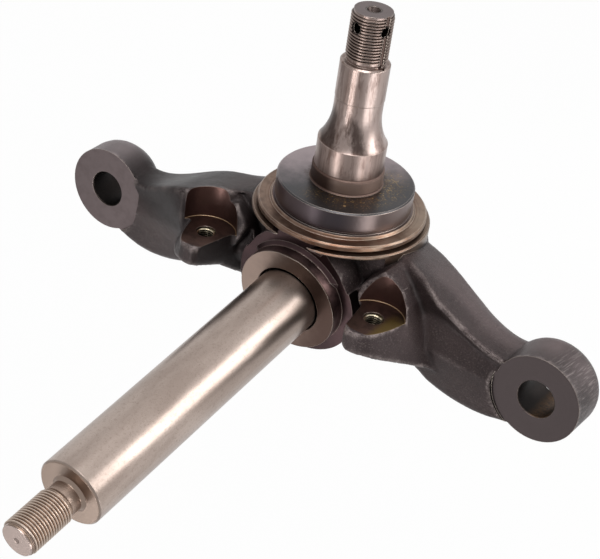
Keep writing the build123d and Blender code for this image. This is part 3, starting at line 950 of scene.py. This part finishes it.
# %% Collar, floor and boss
def plum_floor(on):
    """The floor faced round the collar."""
    plum = on.graph.mix(on.broad.ramp(0.3, 0.7), tone(72, 55, 56), tone(50, 38, 39))
    return plum, 0.3 + on.patch * 0.1, 0.3


def dark_boss(on):
    """The turned boss below that floor."""
    return on.graph.mix(on.broad, tone(58, 46, 47), tone(40, 32, 33)), 0.34, 0.2


def collar_painted_light(on):
    """A plum barrel under a top with painted light, paler on the left and darker on the right."""
    graph, patch = on.graph, on.patch
    top = on.height.above(COLLAR_TOP - 1.0, 0.4)
    # painted light across the top: pale on the left, dark on the right
    turned = graph.mix(
        (on.x + patch * 30.0).ramp(-25.0, 45.0), tone(138, 120, 110), tone(68, 52, 46)
    )
    barrel = graph.mix(patch.ramp(0.4, 0.65), tone(104, 82, 80), tone(74, 57, 56))
    return graph.mix(top, barrel, turned), 0.36 + patch * 0.06, 0.45

# %% [markdown]
# The eyes are faced by a cutter that sweeps in arcs round the bore, which shows as rings in the
# roughness. Painted shade darkens the right hand face and both bores, and rust has started in the
# right hand bore.

# %% Eyes
def faced_eye(on):
    """Grey left face and a right one darkened by painted shade, with the cutter's rings."""
    graph, eye_r = on.graph, on.eye_r
    sweep = graph.noise(graph.vector(eye_r * 1.1, 0.0, 0.0), 1.0, 2.0)
    faced = graph.mix(on.patch.ramp(0.4, 0.7), tone(106, 95, 95), tone(98, 87, 87))
    # painted shade on the right hand eye's face
    faced = faced.tint(on.x.ramp(-20.0, 20.0) * 0.95, 48, 42, 42)
    return faced, 0.44 + sweep * 0.08, 0.08 + eye_r.above(26.0, 1.0) * 0.45


def bored_eye(on):
    """Bore painted dark as shade, rusty at one place on the right."""
    # painted shade: the bore is drawn near black
    inside = on.graph.mix(on.speck, tone(44, 38, 36), tone(20, 17, 16))
    corner = on.x.above(EYE_X - 1.0, 4.0) * (on.y - EYE_Y).below(-5.0, 3.0)
    rusty = corner * on.speck.ramp(0.3, 0.6)
    return on.graph.mix(rusty * 0.8, inside, tone(98, 72, 48)), 0.46, 0.1

# %% [markdown]
# A spot face is a small round floor that a stop bolt's head can sit on. It is brown, a little
# oil has run out of the right hand hole, and a highlight is painted as a bright line along part
# of its edge.

# %% Spot faces
def spot_face(on):
    """Brown floor and wall of a spot face, with its oil and a painted highlight along its edge."""
    graph, over_face, patch = on.graph, on.over_face, on.patch
    pit = graph.mix(patch.ramp(0.4, 0.7), tone(86, 66, 59), tone(62, 48, 43))
    oil = on.x.above(73.0, 3.0) * over_face.below(0.2, 0.1)
    oil = oil * (on.z + on.speck * 16.0).above(53.0, 6.0)
    pit = pit.tint(oil * 0.8, 104, 86, 42)
    pit = pit.tint(over_face.above(0.3, 0.1) * 0.6, 104, 78, 74)
    # painted highlight: a bright line along part of the edge
    painted_edge_line = abs(on.lug_r - (SPOT_R - 0.3)).below(0.3, 0.1) * over_face.below(0.25, 0.1)
    pit = pit.tint(painted_edge_line * (LUG_Z - on.z).above(2.0, 4.0) * 0.8, 190, 160, 120)
    return pit, 0.34, 0.2

# %% [markdown]
# The zones are then laid one over the other. Wherever the tool left an edge, the shader can tell
# by comparing the true normal with one that the Bevel node has rounded off, and a highlight is
# painted there in a pale colour.

# %% Lay the zones
EDGE_COSINE = 0.975            # below this the rounded normal says that an edge is near


class Layers:
    """Colour, roughness and painted edge highlight of a surface, built up finish over finish."""

    def __init__(self, graph, colour, rough, glint):
        self.graph, self.colour, self.rough, self.glint = graph, colour, rough, glint

    def lay(self, mask, tint, rough, glint):
        self.colour = self.graph.mix(mask, self.colour, tint)
        self.rough = self.rough * (1 - mask) + mask * rough
        self.glint = self.glint * (1 - mask) + mask * glint


def machined_steel():
    """The whole finish, from bare steel up to the highlight painted on its edges."""
    material, graph = new_finish("machined_steel")
    on = machined_places(graph)
    masks = zone_masks(on)
    bare = graph.mix(on.patch.ramp(0.4, 0.7), tone(96, 84, 80), tone(72, 62, 60))
    steel = Layers(graph, bare, 0.38 + on.patch * 0.06, 0.25 + on.broad * 0.2)
    steel.lay(masks["seat"], *seat_steel(on))
    # painted shade: the lips at the seat's foot and the disc's top are drawn dark
    steel.lay(masks["lips"], tone(84, 66, 60), 0.7, 0.0)
    steel.lay(masks["disc"], *blued_disc(on))
    steel.lay(masks["flange"], *bronze_flange(on))
    steel.lay(masks["floor"], *plum_floor(on))
    steel.lay(masks["boss"], *dark_boss(on))
    steel.lay(masks["collar"], *collar_painted_light(on))
    # painted shade in the pin's bore
    steel.lay(masks["bore"], tone(20, 17, 17), 0.6, 0.0)
    steel.lay(masks["eye_face"], *faced_eye(on))
    steel.lay(masks["eye_bore"], *bored_eye(on))
    steel.lay(masks["spot"], *spot_face(on))
    # painted shade in the lug holes
    steel.lay(masks["hole"], tone(58, 50, 42), 0.4, 0.0)

    crisp = graph.node("ShaderNodeBevel", {"samples": 4}, {"Radius": 0.0006})
    true_normal = graph.node("ShaderNodeNewGeometry", output="Normal")
    turn = graph.node(
        "ShaderNodeVectorMath", {"operation": "DOT_PRODUCT"}, {0: crisp, 1: true_normal},
        output="Value",
    )
    edge = turn.below(EDGE_COSINE, 0.02)
    # painted highlight on the edges
    colour = graph.mix(edge * steel.glint, steel.colour, tone(214, 200, 188))
    normal = graph.bump(on.rings + on.speck * 0.8, 0.3, 0.0001, crisp)
    graph.metal(colour, 0.93, steel.rough, normal)
    return material


dress(knuckle, machined_steel())
knuckle.data.polygons.foreach_set("material_index", skin_cut.astype(np.int32))

# %% [markdown]
# ## Studio
# A catalogue picture of bare steel needs a bright, even room, because steel shows what is round
# it. The floor and the room are white to the camera and to reflections, and light the part
# gently. Large soft lamps then draw the long highlights down the round bars.

# %% Floor
FLOOR_DROP = 0.16              # the part floats this far above the floor
FLOOR_REACH = 6.0
WHITE = (1, 1, 1, 1)
PAINT = (0.8, 0.8, 0.8, 1)
FLOOR_GLOW = 0.96              # share of glow in what the camera sees of the floor


def ray_kinds(graph):
    """What kind of ray asks for a colour, as a wire for each kind."""
    path = graph.node("ShaderNodeLightPath")
    return {o.name: Wire(graph, o) for o in path.socket.node.outputs}


def plain_floor():
    """Floor that the camera and reflections see as white glow, and other rays as paint."""
    level = CAD_LOW.z - FLOOR_DROP
    mesh = bpy.data.meshes.new("floor")
    signs = ((-1, -1), (1, -1), (1, 1), (-1, 1))
    corners = [(a * FLOOR_REACH, b * FLOOR_REACH, level) for a, b in signs]
    mesh.from_pydata(corners, [], [(0, 1, 2, 3)])
    floor = bpy.data.objects.new("floor", mesh)
    bpy.context.scene.collection.objects.link(floor)
    material, graph = new_finish("white_floor")
    rays = ray_kinds(graph)
    seen = rays["Is Camera Ray"].most(rays["Is Glossy Ray"]).most(rays["Is Transmission Ray"])
    paint = graph.node("ShaderNodeBsdfDiffuse", values={"Color": PAINT})
    glow = graph.node("ShaderNodeEmission", values={"Color": WHITE, "Strength": 1.0})
    surface = graph.node("ShaderNodeMixShader", values={0: seen * FLOOR_GLOW, 1: paint, 2: glow})
    graph.node("ShaderNodeOutputMaterial", values={"Surface": surface})
    mesh.materials.append(material)
    print("floor at z =", round(level, 4), "m")


plain_floor()

# %% Room
ROOM_LIGHT = 0.4               # strength of the room's own light on the part
ROOM_IN_STEEL = 0.4            # share of full white in what reflections see of it


def plain_room():
    """World that the camera sees white, and that reflections and other rays see dimmer."""
    world = bpy.data.worlds.new("room")
    bpy.context.scene.world = world
    world.use_nodes = True
    graph = Graph(world.node_tree)
    rays = ray_kinds(graph)
    seen = rays["Is Camera Ray"].most(rays["Is Glossy Ray"] * ROOM_IN_STEEL)
    seen = seen.most(rays["Is Transmission Ray"])
    soft = graph.node("ShaderNodeBackground", values={"Color": WHITE, "Strength": ROOM_LIGHT})
    white = graph.node("ShaderNodeBackground", values={"Color": WHITE, "Strength": 1.0})
    surface = graph.node("ShaderNodeMixShader", values={0: seen, 1: soft, 2: white})
    graph.node("ShaderNodeOutputWorld", values={"Surface": surface})
    print("room of", len(world.node_tree.nodes), "nodes")


plain_room()

# %% [markdown]
# ## Lamps
# A small lamp makes a hard spot on round steel, and a large one makes a long soft band, which is
# how a polished bar is read as round. So each lamp is a wide area: the key beyond the spindle's
# tip, a low one beside the right arm, one high behind the pin and one to the right.

# %% Lamps
def soft_lamp(name, place, aim, size, watts):
    """Square area lamp at place that faces aim."""
    data = bpy.data.lights.new(name, "AREA")
    data.shape = "RECTANGLE"
    data.size, data.size_y = size
    data.energy = watts
    lamp = bpy.data.objects.new(name, data)
    lamp.location = place
    lamp.rotation_mode = "QUATERNION"
    lamp.rotation_quaternion = (Vector(place) - Vector(aim)).to_track_quat("Z", "Y")
    lamp.visible_camera = False
    bpy.context.scene.collection.objects.link(lamp)
    away = (Vector(place) - Vector(aim)).length
    print(name, "gives", watts, "W from", round(away, 2), "m away")


AIM = (0.0, 0.03, 0.06)
soft_lamp("key_lamp", (0.25, 1.5, 0.55), AIM, (1.0, 0.8), 18.0)
soft_lamp("low_lamp", (0.42, 0.22, -0.16), (0.0, 0.0, 0.14), (0.3, 0.34), 1.7)
soft_lamp("rear_lamp", (-0.2, -0.67, 1.15), AIM, (0.3, 0.9), 7.0)
soft_lamp("side_lamp", (1.2, -0.55, 0.1), AIM, (0.3, 1.0), 6.0)

# %% [markdown]
# ## Camera
# A long lens from above the right arm keeps the eyes and the bars close to their true
# proportions. Its place and its three directions are written out, in the part's own frame.

# %% Camera
CAMERA_AT = Vector((0.4694, 0.6074, 0.8526))
CAMERA_RIGHT = Vector((0.81495, 0.12749, -0.56533))
CAMERA_UP = Vector((-0.39935, 0.83046, -0.38840))
CAMERA_BACK = Vector((0.41996, 0.54230, 0.72770))
CAMERA_LENS, CAMERA_SENSOR = 103.85, 36.0

lens = bpy.data.cameras.new("camera")
lens.sensor_width = CAMERA_SENSOR
lens.lens = CAMERA_LENS
lens.clip_start, lens.clip_end = 0.05, 20.0
camera = bpy.data.objects.new("camera", lens)
axes = Matrix((CAMERA_RIGHT, CAMERA_UP, CAMERA_BACK)).transposed().to_4x4()
camera.matrix_world = Matrix.Translation(CAMERA_AT) @ axes
bpy.context.scene.collection.objects.link(camera)
bpy.context.scene.camera = camera
bpy.context.scene.view_settings.view_transform = "Standard"
print("camera", round(CAMERA_AT.length, 2), "m from the part's origin, lens", CAMERA_LENS, "mm")
